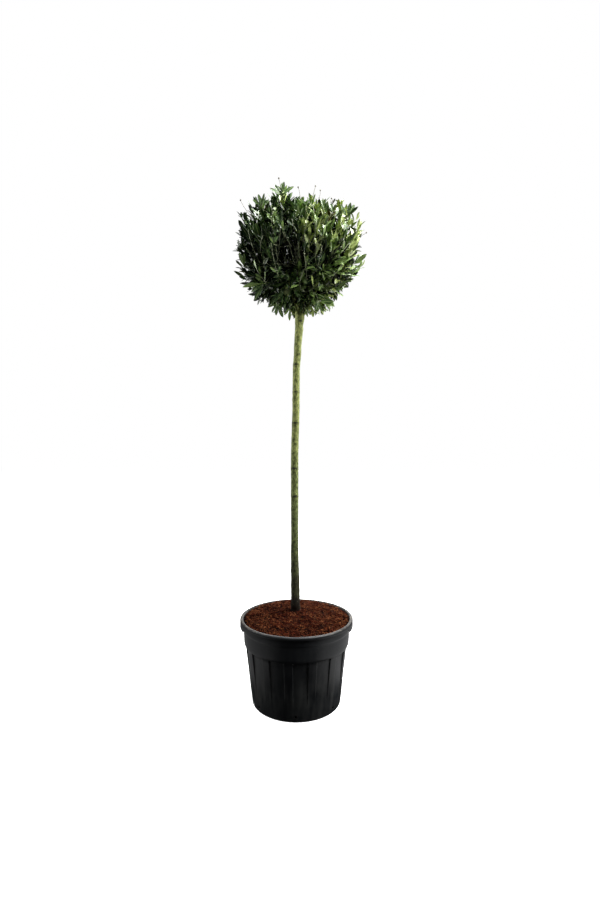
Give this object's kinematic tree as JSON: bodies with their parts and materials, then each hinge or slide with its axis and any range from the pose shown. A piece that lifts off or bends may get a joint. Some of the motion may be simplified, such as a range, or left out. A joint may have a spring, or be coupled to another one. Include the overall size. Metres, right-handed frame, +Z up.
{
  "type": "potted cherry laurel",
  "caption": "Evergreen laurel grown as a ball of leaves on one tall clear stem, rooted in a round black nursery pot.",
  "frame": {"origin": "middle of the pot's flat underside", "axes": "+Z up along the stem, -Y the side that the picture shows, +X to the right of it"},
  "size_m": [0.5115, 0.4959, 1.9094],
  "materials": {
    "pot_plastic": "black polypropylene with a satin skin and a grey bloom of dust",
    "growing_medium": "red-brown coir and shredded bark, crumbled and damp",
    "bark": "smooth grey-green young bark with fine lenticels, darker and rougher near the foot",
    "foliage": "dark green leathery laurel leaves with a satin upper face and a paler underside"
  },
  "bodies": {
    "root": {"pot": "pot_plastic", "growing_medium": "growing_medium", "trunk": "bark", "bough_01": "bark", "bough_02": "bark", "bough_03": "bark", "bough_04": "bark", "bough_05": "bark", "bough_06": "bark", "bough_07": "bark", "bough_08": "bark", "bough_09": "bark", "bough_10": "bark", "bough_11": "bark", "bough_12": "bark", "bough_13": "bark", "bough_14": "bark", "bough_15": "bark", "foliage_01": "foliage", "foliage_02": "foliage", "foliage_03": "foliage", "foliage_04": "foliage", "foliage_05": "foliage", "foliage_06": "foliage", "foliage_07": "foliage", "foliage_08": "foliage", "foliage_09": "foliage", "foliage_10": "foliage", "foliage_11": "foliage", "foliage_12": "foliage", "foliage_13": "foliage", "foliage_14": "foliage", "foliage_15": "foliage"}
  },
  "joints": []
}
